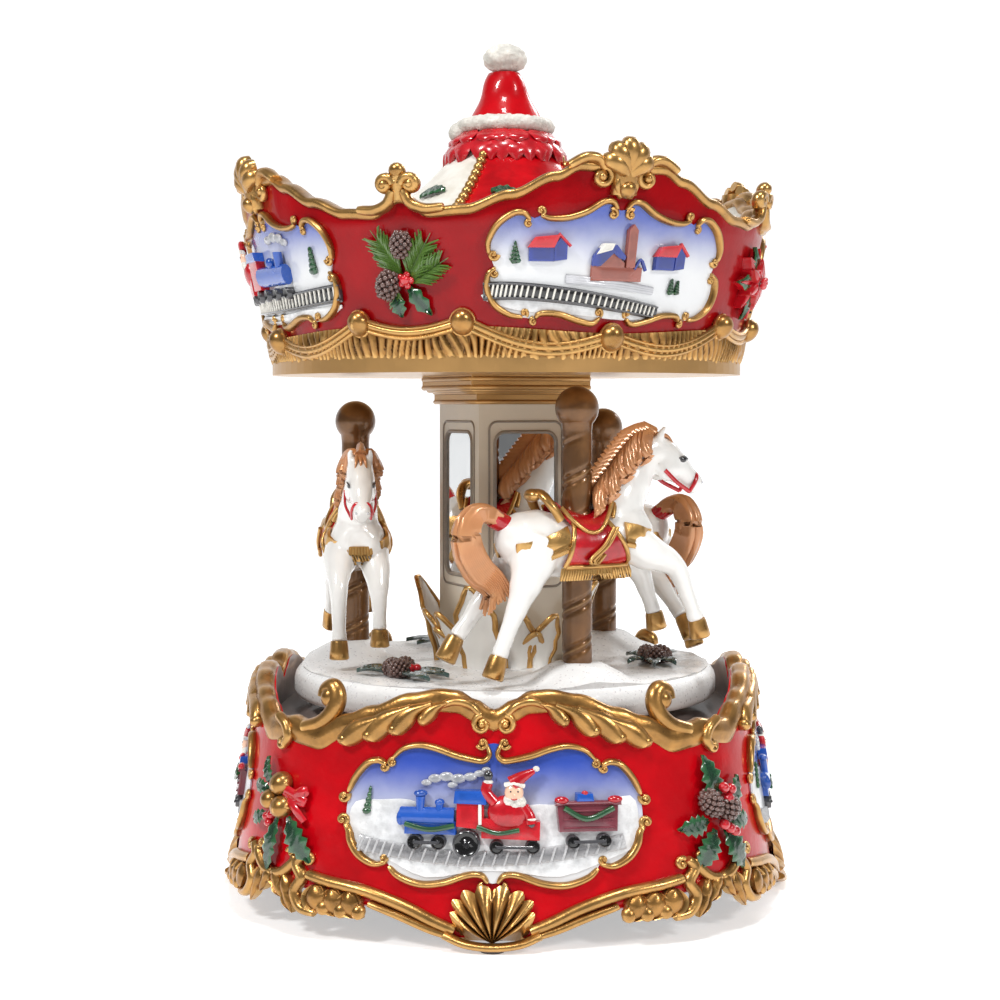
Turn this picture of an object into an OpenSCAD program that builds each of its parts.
// Carousel music box: a cast base holding a spring-driven musical movement, and a
// turntable that carries a mirrored column, three poles with horses and a canopy.
// Millimetres, +Z up. The origin is at the middle of the base, on the table.

/* [Overall] */
// Height from the table to the top of the pompom
total_h = 200; // [198:0.5:204]
// How far the turntable stands turned from the base
rest_turn = 26.4; // [0:0.1:90]

/* [Base] */
// Middle radius of the base wall at its foot
base_foot_r = 66.8; // [66:0.2:70]
// Middle radius of the base wall under the rim
base_top_r = 61.6; // [61:0.2:65]
// How far the corners stand out from the middle radius, and the panels in
base_wave = 3; // [2:0.1:3.2]
// Thickness of the cast base wall
base_wall = 4.4; // [3.6:0.1:5]
// Height of the underside of the deck over the movement
deck_z = 38.6; // [38.4:0.1:39]
// Thickness of the deck
deck_t = 2.9; // [2.4:0.1:3]
// Height of the low stretches of the base rim
rim_low_z = 46.6; // [45:0.2:48]
// Height of the raised stretches of the base rim
rim_high_z = 52.6; // [50:0.2:54]
// Width of one shell foot
foot_w = 17.4; // [12:0.2:20]

/* [Turntable] */
// Radius of the snow platform
platform_r = 50.4; // [48:0.2:52]
// Height of the flat snow
snow_z = 52.3; // [52:0.1:53]
// Height of the snow mounds round the poles
mound_z = 57; // [55:0.5:58]
// Radius of a snow mound
mound_r = 13; // [10:0.5:14]

/* [Column and canopy] */
// Side of the square column
column_side = 24; // [22:0.5:26]
// Height of the top of the column
column_top_z = 113.5; // [112:0.5:115]
// Height of the underside of the canopy
canopy_z = 120.3; // [119:0.1:121]
// Middle radius of the canopy wall at its lower edge
canopy_low_r = 56.2; // [56:0.2:58]
// Middle radius of the canopy wall at its upper edge
canopy_high_r = 62.2; // [62:0.2:64]
// How far the canopy corners stand out, and its panels in
canopy_wave = 0.7; // [0.4:0.1:0.8]
// Thickness of the canopy wall
canopy_wall = 3.4; // [3:0.1:4]
// Height of the trough of the canopy rim
canopy_rim_z = 155; // [153:0.5:156]

/* [Poles and horses] */
// Distance from the middle to each pole
pole_circle_r = 37.3; // [36:0.1:38]
// Turn of each pole from the first canopy panel, in degrees
pole_turns = [1.4, 114, 234];
// Radius of a pole
pole_r = 3.35; // [3:0.05:3.6]
// Radius of the ball on a pole
pole_ball_r = 4.9; // [4:0.1:5.5]
// Heights of the tops of the three poles
pole_tops = [117.5, 112.5, 114.3];
// How far each horse sits below the first one
horse_drops = [0, 2.2, 1.9];
// How far each horse dips its nose, in degrees
horse_dips = [0, 4, 9];
// How far each horse turns towards the column, in degrees
horse_swings = [0, 0, 19];

/* [Movement] */
// Radius of the winding arbor
arbor_r = 2; // [1.8:0.1:2.2]
// Radius of the drive spindle
spindle_r = 3; // [2.8:0.1:3.2]
// Radial clearance of a running fit
running = 0.05; // [0.03:0.01:0.08]
// Teeth on the crown of the spring barrel
crown_teeth = 60; // [60:15:60]
// Teeth on the cylinder pinion
cylinder_pinion_teeth = 15; // [15:15:15]
// Teeth on the cylinder gear
cylinder_gear_teeth = 48; // [48:12:48]
// Teeth on the governor pinion
governor_pinion_teeth = 12; // [12:12:12]
// Teeth on the worm wheel
worm_wheel_teeth = 12; // [12:1:12]
// Tongues on the comb
comb_tongues = 18; // [12:1:18]

/* [Hidden] */
$fn = 64;
panels = 4;
plan_steps = 96;
snow_white = "whitesmoke";
gold = "goldenrod";
bronze = "sienna";
cast_red = "crimson";
brass = "darkkhaki";
steel = "silver";

// Heights, from the table up
pad_t = 1;
foot_z = 5;
cover_z = 11;
cover_t = 2;
ledge_t = 2.4;
bedplate_z = 14.5;
bedplate_t = 1.6;
bed_top_z = bedplate_z + bedplate_t;
barrel_z = 18.5;
barrel_h = 8;
barrel_top_z = barrel_z + barrel_h;
deck_top_z = deck_z + deck_t;
plate_z = 43.4;
plate_t = 1.6;
platform_z = plate_z + plate_t;
canopy_plate_t = 3.6;
canopy_wall_z = canopy_z + canopy_plate_t;
roof_z = 147;

// Radii and gaps
pad_r = 2.6;
foot_inner_r = 60.2;
foot_outer_r = 66.8;
pad_circle_r = 63.4;
cover_screw_r = 60.4;
cover_gap = 0.3;
fit_gap = 0.1;

// Gear train
crown_r = 15.25;
cylinder_pinion_r = crown_r * cylinder_pinion_teeth / crown_teeth;
crown_face_z = barrel_top_z - 1.1;
crown_tooth_h = 1;
cylinder_axis_z = crown_face_z + 0.5 + cylinder_pinion_r;
gear_module = 0.28;
cylinder_gear_r = cylinder_gear_teeth * gear_module / 2;
governor_pinion_r = governor_pinion_teeth * gear_module / 2;
governor_y = -(cylinder_gear_r + governor_pinion_r);
worm_lead = 1.571;
worm_wheel_r = worm_wheel_teeth * worm_lead / (2 * PI);
worm_r = 1.2;
worm_throw = 0.35;
worm_y = governor_y - worm_wheel_r - worm_r;
worm_x = 45.6;
worm_z = 25.5;
worm_h = 8.5;

// Places along the cylinder arbor
pinion_x = 14.6;
pinion_w = 1.3;
bearing_x = [17, 43];
bearing_t = 1.3;
bearing_half_w = 2.9;
cylinder_x = 20;
cylinder_len = 17;
cylinder_r = 6.5;
cylinder_pin_h = 0.6;
gear_x = 40.5;
gear_w = 1.5;
cylinder_arbor_r = 1;
governor_arm_x = [38.4, 48];
governor_arm_t = 1.2;
governor_shaft_r = 0.6;
fan_shaft_r = 0.5;
comb_z = cylinder_axis_z - 0.5;
comb_t = 1;
comb_tip_y = cylinder_r + cylinder_pin_h + 0.3;
comb_root_y = 16;
comb_back_y = 24;

// Column and mirrors
mirror_w = 15.9;
mirror_low_z = 73;
mirror_high_z = 107;
mirror_t = 1.2;
tie_rod_r = 2;

// ---- outlines ---------------------------------------------------------------------

// A point at a radius and an angle from +X
function polar(radius, angle) = radius * [cos(angle), sin(angle)];

// A point of the four-panel plan; angle 0 is the middle of the front panel
function plan_point(middle_r, wave, angle) =
    (middle_r - wave * cos(panels * angle)) * [sin(angle), -cos(angle)];

// Points of the plan from one angle to another
function plan_arc(middle_r, wave, from, to, steps) =
    [for (i = [0:steps]) plan_point(middle_r, wave, from + (to - from) * i / steps)];

// A toothed wheel's outline; the fractions are the tooth's share of the pitch
function wheel_outline(teeth, root_r, tip_r, root_share, tip_share) =
    [for (i = [0:teeth - 1]) each [
        polar(root_r, (i - root_share / 2) * 360 / teeth),
        polar(tip_r, (i - tip_share / 2) * 360 / teeth),
        polar(tip_r, (i + tip_share / 2) * 360 / teeth),
        polar(root_r, (i + root_share / 2) * 360 / teeth)]];

module plan(middle_r, wave) {
    polygon([for (i = [0:plan_steps - 1]) plan_point(middle_r, wave, i * 360 / plan_steps)]);
}

// A wall that narrows or widens from one middle radius to another
module plan_body(low_r, high_r, wave, low_z, high_z) {
    translate([0, 0, low_z])
        linear_extrude(height = high_z - low_z, scale = high_r / low_r)
            plan(low_r, wave);
}

// A straight stretch of wall between two angles
module plan_stretch(outer_r, inner_r, wave, from, to, low_z, high_z) {
    steps = 10;
    translate([0, 0, low_z])
        linear_extrude(height = high_z - low_z)
            polygon(concat(
                plan_arc(outer_r, wave, from, to, steps),
                plan_arc(inner_r, wave, to, from, steps)));
}

// Lays a shape that was drawn about the vertical axis along +X
module along_x(x) {
    translate([x, 0, 0]) rotate([90, 0, 90]) children();
}

// A pan-head screw pointing down, its head resting at height z
module screw(z, shank_r, shank_h, head_r, head_h) {
    translate([0, 0, z]) difference() {
        union() {
            cylinder(h = head_h, r = head_r);
            translate([0, 0, -shank_h]) cylinder(h = shank_h, r = shank_r);
        }
        translate([-head_r, -0.3, head_h - 0.5]) cube([2 * head_r, 0.6, 1]);
    }
}

// The turntable and all it carries stand turned from the base
module on_turntable() {
    rotate([0, 0, rest_turn]) children();
}

// ---- base -------------------------------------------------------------------------

// How far the base wall waves in and out at a middle radius
function ripple(middle_r) = base_wave * middle_r / base_foot_r;

module base_shell() {
    hollow_foot_r = base_foot_r - base_wall;
    hollow_top_r = base_top_r - base_wall;
    rim_r = base_top_r - 0.9;
    lobe = 22;
    color(cast_red) difference() {
        union() {
            difference() {
                union() {
                    plan_body(base_foot_r, base_foot_r - 1.4, base_wave, foot_z, 12);
                    plan_body(base_foot_r - 1.7, base_top_r, ripple(base_foot_r - 1.7), 11, 40);
                    plan_body(base_top_r - 0.3, rim_r, ripple(base_top_r - 0.3), 39, rim_low_z);
                    for (i = [0:panels - 1])
                        plan_stretch(rim_r - 0.4, hollow_top_r - 1, ripple(rim_r - 0.4),
                            i * 90 - lobe, i * 90 + lobe, rim_low_z - 1, rim_high_z);
                }
                plan_body(hollow_foot_r, hollow_foot_r - 0.8, base_wave, 0, cover_z + cover_t);
                plan_body(hollow_foot_r - 3, hollow_top_r - 1, base_wave,
                    cover_z + cover_t - 0.5, deck_z);
                plan_body(hollow_top_r, hollow_top_r, base_wave, deck_top_z, rim_high_z + 1);
            }
            for (i = [0:panels - 1])
                rotate([0, 0, i * 90]) {
                    translate([-foot_w / 2, -foot_outer_r, pad_t])
                        cube([foot_w, foot_outer_r - foot_inner_r, 9.6]);
                    at_cover_screw() translate([0, 0, cover_z + cover_t])
                        cylinder(h = 7, r = 4);
                }
        }
        translate([0, 0, deck_z - 1]) cylinder(h = deck_t + 2, r = 6);
        for (i = [0:panels - 1])
            rotate([0, 0, i * 90]) at_cover_screw() cylinder(h = 18.5, r = 1.15);
    }
}

// Places a child at the screw in the corner beside the first panel
module at_cover_screw() {
    rotate([0, 0, 45]) translate([0, -cover_screw_r, 0]) children();
}

module felt_pads() {
    color("dimgray")
        for (i = [0:panels - 1])
            rotate([0, 0, i * 90]) translate([0, -pad_circle_r, 0])
                cylinder(h = pad_t, r = pad_r);
}

module bottom_cover() {
    post_h = bedplate_z - cover_z - cover_t;
    color("dimgray") difference() {
        union() {
            translate([0, 0, cover_z])
                linear_extrude(height = cover_t)
                    plan(base_foot_r - base_wall - 0.8 - cover_gap, base_wave);
            for (place = bed_posts())
                translate([place[0], place[1], cover_z + cover_t])
                    cylinder(h = post_h, r = 3);
        }
        translate([0, 0, cover_z - 1]) cylinder(h = cover_t + 2, r = arbor_r + 0.5);
        for (i = [0:panels - 1])
            rotate([0, 0, i * 90]) at_cover_screw() cylinder(h = 20, r = 1.5);
        for (place = bed_posts())
            translate([place[0], place[1], cover_z + 0.6]) cylinder(h = 10, r = 1.15);
    }
}

// Places of the posts that hold the bedplate
function bed_posts() = [[-15, -15], [-15, 21], [34, -15], [47, 21]];

module bottom_cover_screws() {
    color(steel)
        for (i = [0:panels - 1])
            rotate([0, 0, i * 90]) at_cover_screw()
                mirror([0, 0, 1]) screw(-cover_z, 1.1, 5.5, 2.4, 1.4);
}

module bedplate() {
    color(brass) difference() {
        translate([-19, -19, bedplate_z]) cube([70, 44, bedplate_t]);
        translate([0, 0, bedplate_z - 1])
            cylinder(h = bedplate_t + 2, r = arbor_r + running);
        for (place = bed_posts())
            translate([place[0], place[1], bedplate_z - 1]) cylinder(h = 4, r = 1.5);
        for (place = concat(bearing_feet(), governor_feet(), [click_place()]))
            translate([place[0], place[1], bedplate_z - 1]) cylinder(h = 4, r = 0.85);
    }
}

// Places of the screws in the feet of the small frames
function bearing_feet() = [[26, 20], [32, 20]];
function governor_feet() = [[41.2, -16.5], [47.4, -4.6]];
function click_place() = [-9.5, 0];

module bedplate_screws() {
    color(steel)
        for (place = bed_posts())
            translate([place[0], place[1], 0]) screw(bed_top_z, 1.1, 4.4, 2.2, 1.2);
}

module cylinder_bearings() {
    color(brass)
        for (x = bearing_x) difference() {
            translate([x, -bearing_half_w, bed_top_z])
                cube([bearing_t, 2 * bearing_half_w, cylinder_axis_z + 3 - bed_top_z]);
            translate([x - 1, 0, cylinder_axis_z]) rotate([0, 90, 0])
                cylinder(h = bearing_t + 2, r = cylinder_arbor_r + running);
        }
}

module comb_block() {
    color(brass) difference() {
        translate([cylinder_x, comb_root_y, bed_top_z])
            cube([cylinder_len, comb_back_y - comb_root_y, comb_z - bed_top_z]);
        for (place = bearing_feet())
            translate([place[0], place[1], comb_z - 4]) cylinder(h = 5, r = 0.85);
    }
}

module comb() {
    pitch = cylinder_len / comb_tongues;
    tongue_w = pitch * 0.74;
    color(steel) difference() {
        translate([cylinder_x, 0, comb_z]) linear_extrude(height = comb_t) union() {
            translate([0, comb_root_y - 1]) square([cylinder_len, comb_back_y - comb_root_y + 1]);
            for (i = [0:comb_tongues - 1])
                translate([i * pitch + (pitch - tongue_w) / 2, comb_tip_y])
                    square([tongue_w, comb_root_y - comb_tip_y]);
        }
        for (place = bearing_feet())
            translate([place[0], place[1], comb_z - 1]) cylinder(h = 4, r = 1);
    }
}

module comb_screws() {
    color(steel)
        for (place = bearing_feet())
            translate([place[0], place[1], 0]) screw(comb_z + comb_t, 0.8, 4.2, 1.9, 1);
}

module governor_frame() {
    foot_t = 1.2;
    arm_top = cylinder_axis_z + 7;
    color(brass) difference() {
        union() {
            translate([governor_arm_x[0], -18, bed_top_z])
                cube([governor_arm_x[1] + governor_arm_t - governor_arm_x[0], 15, foot_t]);
            for (x = governor_arm_x)
                translate([x, -9.4, bed_top_z])
                    cube([governor_arm_t, 3, arm_top - bed_top_z]);
            translate([worm_x - 1.6, -14.4, arm_top - 1.2])
                cube([governor_arm_x[1] + governor_arm_t - worm_x + 1.6, 8, 1.2]);
        }
        translate([0, governor_y, cylinder_axis_z]) rotate([0, 90, 0])
            cylinder(h = 60, r = governor_shaft_r + running);
        translate([worm_x, worm_y, bed_top_z + 0.4])
            cylinder(h = 40, r = fan_shaft_r + running);
        for (place = governor_feet())
            translate([place[0], place[1], bed_top_z - 1]) cylinder(h = 4, r = 1);
    }
}

module governor_screws() {
    color(steel)
        for (place = governor_feet())
            translate([place[0], place[1], 0]) screw(bed_top_z + 1.2, 0.8, 2.6, 1.3, 0.8);
}

module ratchet_click() {
    color(steel) difference() {
        translate([0, 0, bed_top_z + 0.5]) linear_extrude(height = 1.2) polygon([
            [click_place()[0] - 1.6, -1.6], [click_place()[0] + 1.6, -1.6],
            [-5.9, 1.4], [-5.8, 2.6], [-7.2, 2.6], [click_place()[0] - 1.6, 1.6]]);
        translate([click_place()[0], 0, bed_top_z]) cylinder(h = 4, r = 0.95);
    }
}

module click_pivot() {
    color(steel) translate([click_place()[0], 0, 0]) {
        translate([0, 0, bedplate_z + 0.1]) cylinder(h = 3.2, r = 0.8);
        translate([0, 0, bed_top_z + 1.7]) cylinder(h = 0.5, r = 1.5);
    }
}

module spindle_bush() {
    color(brass) difference() {
        union() {
            translate([0, 0, deck_z - 1.2]) cylinder(h = deck_t + 1.6, r = 5.9);
            translate([0, 0, deck_top_z]) cylinder(h = 0.6, r = 8);
        }
        translate([0, 0, deck_z - 3]) cylinder(h = deck_t + 8, r = spindle_r + running);
    }
}

// ---- key --------------------------------------------------------------------------

module winding_key() {
    color(steel) difference() {
        union() {
            translate([0, 0, 3]) cylinder(h = 7.6, r = 3.4);
            for (side = [-1, 1])
                translate([side * 7, 1, 6]) rotate([90, 0, 0]) difference() {
                    union() {
                        cylinder(h = 2, r = 4.4);
                        translate([side > 0 ? -5 : 0, -2.4, 0]) cube([5, 4.8, 2]);
                    }
                    translate([0, 0, -1]) cylinder(h = 4, r = 1.9);
                }
        }
        translate([0, 0, 4.6]) cylinder(h = 10, r = arbor_r + 0.02);
    }
}

module winding_arbor() {
    color(steel) {
        translate([0, 0, 4.8]) cylinder(h = barrel_top_z - 6, r = arbor_r);
        translate([0, 0, bed_top_z + 0.1]) cylinder(h = 0.4, r = 3.2);
    }
}

module ratchet_wheel() {
    color(brass) difference() {
        translate([0, 0, bed_top_z + 0.6]) linear_extrude(height = 1.1)
            polygon([for (i = [0:15]) each [polar(4.4, i * 22.5), polar(5.4, i * 22.5 + 20)]]);
        translate([0, 0, bed_top_z]) cylinder(h = 4, r = arbor_r + 0.02);
    }
}

// ---- turntable drive ----------------------------------------------------------------

module spring_barrel() {
    wall = 0.9;
    barrel_r = 14;
    flange_r = 16;
    flange_t = 1.2;
    tooth_w = 0.46;
    color(brass) difference() {
        union() {
            translate([0, 0, barrel_z]) cylinder(h = barrel_h, r = barrel_r);
            translate([0, 0, crown_face_z - flange_t]) cylinder(h = flange_t, r = flange_r);
            translate([0, 0, crown_face_z]) linear_extrude(height = crown_tooth_h)
                for (i = [0:crown_teeth - 1])
                    rotate((i + 0.5) * 360 / crown_teeth)
                        translate([barrel_r + 0.5, -tooth_w / 2])
                            square([flange_r - barrel_r - 0.5, tooth_w]);
        }
        translate([0, 0, barrel_z + 1]) cylinder(h = barrel_h, r = barrel_r - wall);
        translate([0, 0, barrel_z - 1]) cylinder(h = 4, r = arbor_r + running);
    }
}

module barrel_cap() {
    color(brass) difference() {
        union() {
            translate([0, 0, barrel_top_z - 1]) cylinder(h = 1, r = 13);
            translate([0, 0, barrel_top_z]) cylinder(h = 1.2, r = 7);
        }
        translate([0, 0, barrel_top_z - 2]) cylinder(h = 4, r = arbor_r + 0.5);
    }
}

module mainspring() {
    turns = 5;
    strip = 0.5;
    steps = turns * 24;
    first_r = 3;
    last_r = 12.6;
    function coil_r(i) = first_r + (last_r - first_r) * i / steps;
    color(steel) translate([0, 0, barrel_z + 1.3]) linear_extrude(height = 5)
        polygon(concat(
            [for (i = [0:steps]) polar(coil_r(i), i * 15)],
            [for (i = [steps:-1:0]) polar(coil_r(i) - strip, i * 15)]));
}

module drive_spindle() {
    color(steel) {
        translate([0, 0, barrel_top_z + 1.2]) cylinder(h = 0.8, r = 6);
        translate([0, 0, barrel_top_z + 2])
            cylinder(h = platform_z - barrel_top_z - 2, r = spindle_r);
    }
}

module turntable_plate() {
    color(steel) difference() {
        translate([0, 0, plate_z]) cylinder(h = plate_t, r = 30);
        translate([0, 0, plate_z - 1]) cylinder(h = plate_t + 2, r = spindle_r + 0.02);
        for (i = [0:2]) rotate([0, 0, i * 120 + 60]) translate([22, 0, plate_z - 1])
            cylinder(h = plate_t + 2, r = 1.5);
    }
}

module turntable_screws() {
    color(steel)
        for (i = [0:2]) rotate([0, 0, i * 120 + 60]) translate([22, 0, 0])
            mirror([0, 0, 1]) screw(-plate_z, 1.1, 4.8, 2.4, 1);
}

// ---- turntable --------------------------------------------------------------------

// Places a child at pole number i, facing along the direction of travel
module at_pole(i) {
    rotate([0, 0, pole_turns[i]]) translate([0, -pole_circle_r, 0]) children();
}

module snow_platform() {
    color(snow_white) on_turntable() difference() {
        union() {
            rotate_extrude($fn = 96) polygon([
                [0, platform_z], [platform_r - 1.5, platform_z],
                [platform_r, platform_z + 2], [platform_r, snow_z - 2.2],
                [platform_r - 1.4, snow_z - 0.8], [platform_r - 5, snow_z], [0, snow_z]]);
            for (i = [0:2]) at_pole(i) translate([0, 0, snow_z - 0.5]) rotate_extrude()
                polygon([for (s = [0:8])
                    [mound_r * cos(s * 11.25), (mound_z - snow_z + 0.5) * sin(s * 11.25)],
                    [0, 0]]);
        }
        for (i = [0:2]) at_pole(i) translate([0, 0, snow_z - 3])
            cylinder(h = 12, r = pole_r + 0.05);
        translate([0, 0, platform_z - 1]) cylinder(h = 20, r = tie_rod_r + 0.1);
        translate([0, 0, platform_z - 1]) cylinder(h = 4.2, r = 4.4);
        rotate([0, 0, -rest_turn]) for (i = [0:2]) rotate([0, 0, i * 120 + 60])
            translate([22, 0, platform_z - 1]) cylinder(h = 4.6, r = 1.15);
    }
}

module column() {
    half = column_side / 2;
    color("tan") on_turntable() difference() {
        translate([-half, -half, snow_z]) cube([column_side, column_side, column_top_z - snow_z]);
        translate([0, 0, snow_z - 1])
            cylinder(h = column_top_z - snow_z + 2, r = half - 3.6);
        for (i = [0:3]) rotate([0, 0, i * 90])
            translate([0, -half, 0]) rotate([90, 0, 0]) translate([0, 0, -mirror_t - 0.2])
                linear_extrude(height = 4) mirror_outline(0.1);
    }
}

// Outline of a mirror with rounded corners, grown by a gap
module mirror_outline(gap) {
    corner_r = 2.6;
    half_w = mirror_w / 2 - corner_r;
    half_h = (mirror_high_z - mirror_low_z) / 2 - corner_r;
    middle_z = (mirror_high_z + mirror_low_z) / 2;
    translate([0, middle_z]) union() {
        square([2 * half_w, 2 * half_h + 2 * corner_r + 2 * gap], center = true);
        square([2 * half_w + 2 * corner_r + 2 * gap, 2 * half_h], center = true);
        for (x = [-half_w, half_w]) for (z = [-half_h, half_h])
            translate([x, z]) circle(r = corner_r + gap);
    }
}

module mirror_pane(i) {
    color("lightsteelblue") on_turntable() rotate([0, 0, i * 90])
        translate([0, -column_side / 2, 0]) rotate([90, 0, 0])
            translate([0, 0, -mirror_t - 0.2]) linear_extrude(height = mirror_t)
                mirror_outline(0);
}

module mirror_1() { mirror_pane(0); }
module mirror_2() { mirror_pane(1); }
module mirror_3() { mirror_pane(2); }
module mirror_4() { mirror_pane(3); }

// A leaf standing on its stem, drawn in the XZ plane
module leaf(width, height, thickness) {
    rotate([90, 0, 0]) linear_extrude(height = thickness) polygon(concat(
        [for (s = [0:6]) [width / 2 * sin(30 + s * 25), height * s / 6]],
        [for (s = [6:-1:0]) [-width / 2 * sin(30 + s * 25), height * s / 6]]));
}

module column_foot() {
    half = column_side / 2;
    color(snow_white) on_turntable() {
        difference() {
            translate([-half - 4, -half - 4, snow_z])
                cube([2 * half + 8, 2 * half + 8, 2.4]);
            translate([-half - fit_gap / 2, -half - fit_gap / 2, snow_z - 1])
                cube([2 * half + fit_gap, 2 * half + fit_gap, 6]);
        }
        for (i = [0:3]) {
            rotate([0, 0, i * 90 + 45]) translate([0, -18.6, snow_z + 1]) rotate([8, 0, 0])
                leaf(13, 19, 1.8);
            rotate([0, 0, i * 90]) translate([0, -half - 1.2, snow_z + 1]) rotate([8, 0, 0])
                leaf(15, 11, 1.8);
        }
    }
}

module capital() {
    color(gold) on_turntable() difference() {
        union() {
            translate([-13, -13, column_top_z]) cube([26, 26, 3.5]);
            translate([-15.25, -15.25, column_top_z + 3.5])
                cube([30.5, 30.5, canopy_z - column_top_z - 3.5]);
        }
        translate([0, 0, column_top_z - 1]) cylinder(h = 12, r = tie_rod_r + 0.1);
    }
}

module tie_rod() {
    color(steel) translate([0, 0, platform_z + 0.4])
        cylinder(h = canopy_wall_z + 4 - platform_z, r = tie_rod_r);
}

module tie_nuts() {
    color(steel)
        for (z = [platform_z + 0.6, canopy_wall_z]) translate([0, 0, z]) difference() {
            cylinder(h = 2.5, r = 3.9, $fn = 6);
            translate([0, 0, -1]) cylinder(h = 5, r = tie_rod_r + 0.03, $fn = 48);
        }
}

module canopy_plate() {
    color(gold) on_turntable() difference() {
        translate([0, 0, canopy_z]) linear_extrude(height = canopy_plate_t)
            plan(canopy_low_r - 0.6, canopy_wave);
        translate([0, 0, canopy_z - 1]) cylinder(h = 8, r = tie_rod_r + 0.1);
    }
}

module canopy() {
    crest_in = 3;
    crest_r = canopy_high_r + 0.6;
    color(cast_red) on_turntable() {
        difference() {
            union() {
                plan_body(canopy_low_r, canopy_high_r, canopy_wave, canopy_wall_z, canopy_rim_z);
                for (i = [0:panels - 1]) {
                    plan_stretch(crest_r, crest_r - crest_in, canopy_wave,
                        i * 90 - 17, i * 90 + 17, canopy_rim_z, 163);
                    plan_stretch(crest_r, crest_r - crest_in, canopy_wave,
                        i * 90 - 6, i * 90 + 6, 163, 168.4);
                    plan_stretch(crest_r, crest_r - crest_in, canopy_wave,
                        i * 90 + 41, i * 90 + 49, canopy_rim_z, 162);
                }
            }
            plan_body(canopy_low_r - canopy_wall, canopy_high_r - canopy_wall - 1.6,
                canopy_wave, canopy_wall_z, roof_z);
            plan_body(canopy_high_r - canopy_wall - 1.6, canopy_high_r - canopy_wall,
                canopy_wave, roof_z, canopy_rim_z);
        }
        difference() {
            plan_body(canopy_high_r - canopy_wall - 1, canopy_high_r - canopy_wall - 1,
                canopy_wave, roof_z - 3, roof_z);
            translate([0, 0, roof_z - 4]) cylinder(h = 6, r = 50);
        }
    }
}

module roof() {
    steps = 12;
    edge_r = 56;
    neck_r = 11;
    neck_z = 174.5;
    edge_z = roof_z + 2.5;
    sag = 2.1;
    function bell_z(r) = edge_z + (neck_z - edge_z)
        * pow(1 - (r - neck_r) / (edge_r - neck_r), sag);
    function bell_r(i) = edge_r + (neck_r - edge_r) * i / steps;
    color(cast_red) difference() {
        rotate_extrude($fn = 96) polygon(concat(
            [[edge_r, roof_z]],
            [for (i = [0:steps]) [bell_r(i), bell_z(bell_r(i))]],
            [[neck_r - 1, 178], [0, 178], [0, 173]],
            [for (i = [steps:-1:1]) [bell_r(i) - 1.6, bell_z(bell_r(i)) - 2.4]],
            [[edge_r - 5, roof_z]]));
    }
}

module finial_hat() {
    color(cast_red) rotate_extrude() polygon(concat(
        [[0, 178]],
        [for (s = [0:8]) [10 + 1.75 * cos(-90 + s * 22.5), 179.75 + 1.75 * sin(-90 + s * 22.5)]],
        [[9, 181.6], [6.9, 185.5], [5, 189.5], [3.75, 192.6]],
        [for (s = [0:8]) [5.5 * cos(-55 + s * 18), 196.2 + (total_h - 196.2) * sin(-55 + s * 18)]],
        [[0, total_h]]));
}

// ---- poles and horses ---------------------------------------------------------------

module pole(i) {
    low_z = snow_z - 2.8;
    ball_z = pole_tops[i] - pole_ball_r;
    color(bronze) on_turntable() at_pole(i) {
        translate([0, 0, low_z]) cylinder(h = ball_z - low_z, r = pole_r);
        translate([0, 0, ball_z]) sphere(r = pole_ball_r);
    }
}

module pole_1() { pole(0); }
module pole_2() { pole(1); }
module pole_3() { pole(2); }

// A rounded link between two balls, each given as [x, y, z, radius]
module link(a, b) {
    hull() {
        translate([a[0], a[1], a[2]]) sphere(r = a[3], $fn = 16);
        translate([b[0], b[1], b[2]]) sphere(r = b[3], $fn = 16);
    }
}

// A running horse about its pole: +X forward, -Y the flank that faces outward
module running_horse() {
    chest = [11, 0, 84.4, 6.9];
    middle = [0, 0, 83.2, 6.9];
    rump = [-12.4, 0, 83.4, 7.3];
    throat = [16.6, 0, 96.6, 4.2];
    poll = [20, 0, 102.4, 3.7];
    muzzle = [30, 0, 95.6, 1.9];
    link(chest, middle);
    link(middle, rump);
    link(chest, throat);
    link(throat, poll);
    link(poll, muzzle);
    for (side = [-1, 1]) {
        reach = side < 0 ? [22.6, 76.6, 28.6, 62.2] : [21.4, 73.4, 22.6, 65.2];
        push = side < 0 ? [-17, 69.4, -22.6, 55.2] : [-21, 69.8, -29.6, 57.8];
        link([12, side * 4.4, 80.5, 4], [reach[0], side * 4.8, reach[1], 2.2]);
        link([reach[0], side * 4.8, reach[1], 2.2], [reach[2], side * 5, reach[3], 1.9]);
        link([-13.4, side * 4.4, 79, 5], [push[0], side * 5, push[1], 2.4]);
        link([push[0], side * 5, push[1], 2.4], [push[2], side * 5.2, push[3], 1.9]);
    }
    link([-19, 0, 87.6, 2], [-25.2, 0, 88, 2.6]);
    link([-25.2, 0, 88, 2.6], [-25, 0, 79.6, 3.2]);
    link([-25, 0, 79.6, 3.2], [-19.6, 0, 73.4, 2.8]);
}

module horse(i) {
    turn_z = 84;
    color(snow_white) on_turntable() at_pole(i) difference() {
        translate([0, 0, turn_z - horse_drops[i]]) rotate([0, horse_dips[i], horse_swings[i]])
            translate([0, 0, -turn_z]) running_horse();
        translate([0, 0, 60]) cylinder(h = 40, r = pole_r + 0.12, $fn = 48);
    }
}

module horse_1() { horse(0); }
module horse_2() { horse(1); }
module horse_3() { horse(2); }

// ---- cylinder, governor and fan -------------------------------------------------------

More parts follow.
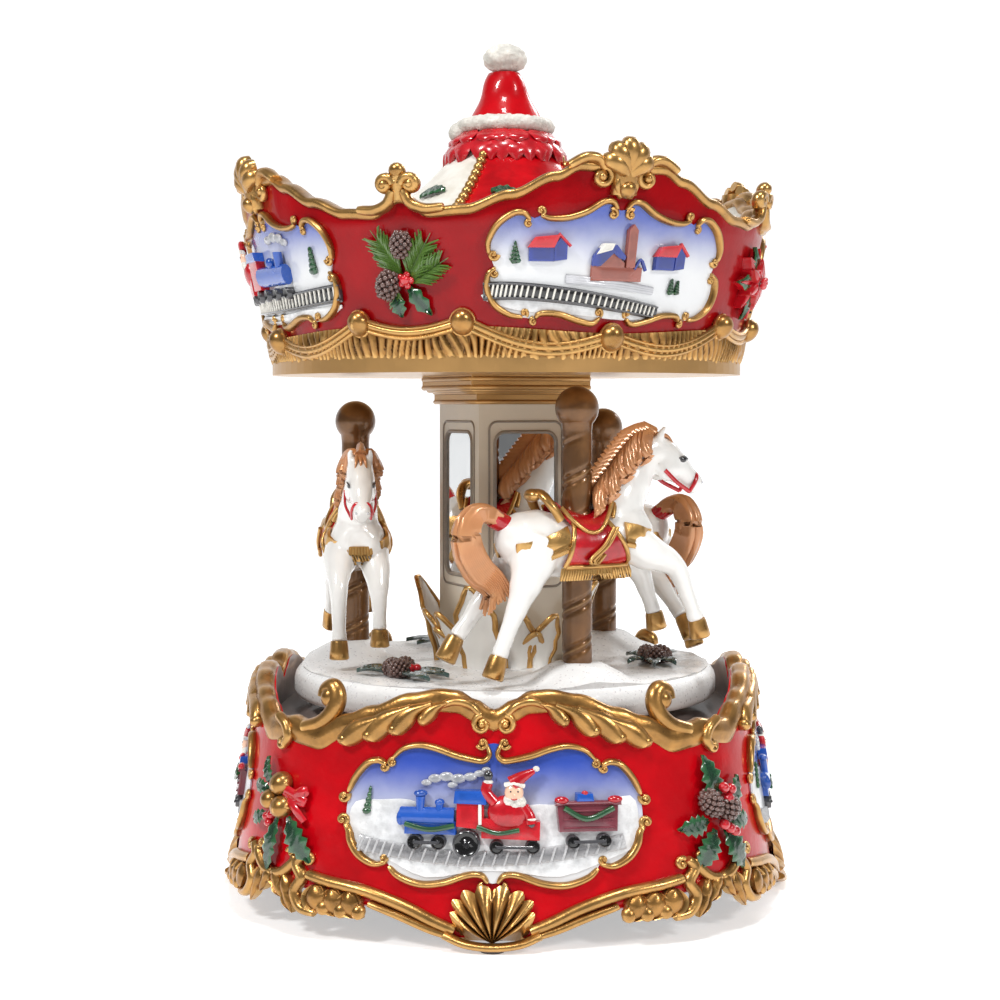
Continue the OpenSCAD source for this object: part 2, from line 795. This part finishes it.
module music_cylinder() {
    pins = 54;
    golden = 137.5;
    translate([0, 0, cylinder_axis_z]) along_x(cylinder_x) color(brass) difference() {
        union() {
            cylinder(h = cylinder_len, r = cylinder_r);
            for (i = [0:pins - 1])
                rotate([0, 0, i * golden])
                    translate([cylinder_r - 0.5, 0, (i % comb_tongues + 0.5) * cylinder_len / comb_tongues])
                        rotate([0, 90, 0]) cylinder(h = cylinder_pin_h + 0.5, r = 0.16, $fn = 8);
        }
        translate([0, 0, -1]) cylinder(h = cylinder_len + 2, r = cylinder_arbor_r + 0.02);
    }
}

module cylinder_arbor() {
    reach = bearing_x[1] + bearing_t + 0.6 - pinion_x;
    translate([0, 0, cylinder_axis_z]) along_x(pinion_x) color(steel) {
        rotate([0, 0, 6]) linear_extrude(height = pinion_w)
            polygon(wheel_outline(cylinder_pinion_teeth,
                cylinder_pinion_r - 0.55, cylinder_pinion_r + 0.3, 0.5, 0.22));
        cylinder(h = reach, r = cylinder_arbor_r);
    }
}

module cylinder_gear() {
    translate([0, 0, cylinder_axis_z]) along_x(gear_x) color(brass) difference() {
        linear_extrude(height = gear_w) polygon(wheel_outline(cylinder_gear_teeth,
            cylinder_gear_r - 0.35, cylinder_gear_r + 0.2, 0.44, 0.24));
        translate([0, 0, -1]) cylinder(h = gear_w + 2, r = cylinder_arbor_r + 0.02);
    }
}

module governor_shaft() {
    shaft_low_x = governor_arm_x[0] - 0.3;
    shaft_high_x = governor_arm_x[1] + governor_arm_t + 0.3;
    translate([0, governor_y, cylinder_axis_z]) color(steel) {
        along_x(shaft_low_x) cylinder(h = shaft_high_x - shaft_low_x, r = governor_shaft_r);
        along_x(gear_x) rotate([0, 0, 15]) linear_extrude(height = gear_w)
            polygon(wheel_outline(governor_pinion_teeth,
                governor_pinion_r - 0.35, governor_pinion_r + 0.2, 0.46, 0.24));
    }
}

module worm_wheel() {
    wheel_w = 1.2;
    translate([0, governor_y, cylinder_axis_z]) along_x(worm_x - wheel_w / 2) color(brass)
        difference() {
            linear_extrude(height = wheel_w) polygon(wheel_outline(worm_wheel_teeth,
                worm_wheel_r - 0.5, worm_wheel_r + 0.2, 0.4, 0.16));
            translate([0, 0, -1]) cylinder(h = 4, r = governor_shaft_r + 0.02);
        }
}

module fan_worm() {
    start = 270 - 360 * (cylinder_axis_z - worm_z) / worm_lead;
    turns = worm_h / worm_lead;
    shaft_low_z = bed_top_z + 0.5;
    translate([worm_x, worm_y, 0]) color(steel) {
        translate([0, 0, shaft_low_z])
            cylinder(h = cylinder_axis_z + 7 - shaft_low_z, r = fan_shaft_r);
        translate([0, 0, worm_z]) rotate([0, 0, start])
            linear_extrude(height = worm_h, twist = -360 * turns, slices = 44)
                translate([worm_throw, 0]) circle(r = worm_r, $fn = 13);
    }
}

module fan_blades() {
    translate([worm_x, worm_y, 19]) color(steel) difference() {
        union() {
            cylinder(h = 5, r = 1.2);
            translate([-3.7, -0.2, 0.4]) cube([7.4, 0.4, 4.2]);
        }
        translate([0, 0, -1]) cylinder(h = 7, r = fan_shaft_r + 0.02);
    }
}

base_shell();
felt_pads();
bottom_cover();
bottom_cover_screws();
bedplate();
bedplate_screws();
cylinder_bearings();
comb_block();
comb();
comb_screws();
governor_frame();
governor_screws();
ratchet_click();
click_pivot();
spindle_bush();
winding_key();
winding_arbor();
ratchet_wheel();
spring_barrel();
barrel_cap();
mainspring();
drive_spindle();
turntable_plate();
turntable_screws();
snow_platform();
column();
mirror_1();
mirror_2();
mirror_3();
mirror_4();
column_foot();
capital();
tie_rod();
tie_nuts();
canopy_plate();
canopy();
roof();
finial_hat();
pole_1();
pole_2();
pole_3();
horse_1();
horse_2();
horse_3();
music_cylinder();
cylinder_arbor();
cylinder_gear();
governor_shaft();
worm_wheel();
fan_worm();
fan_blades();
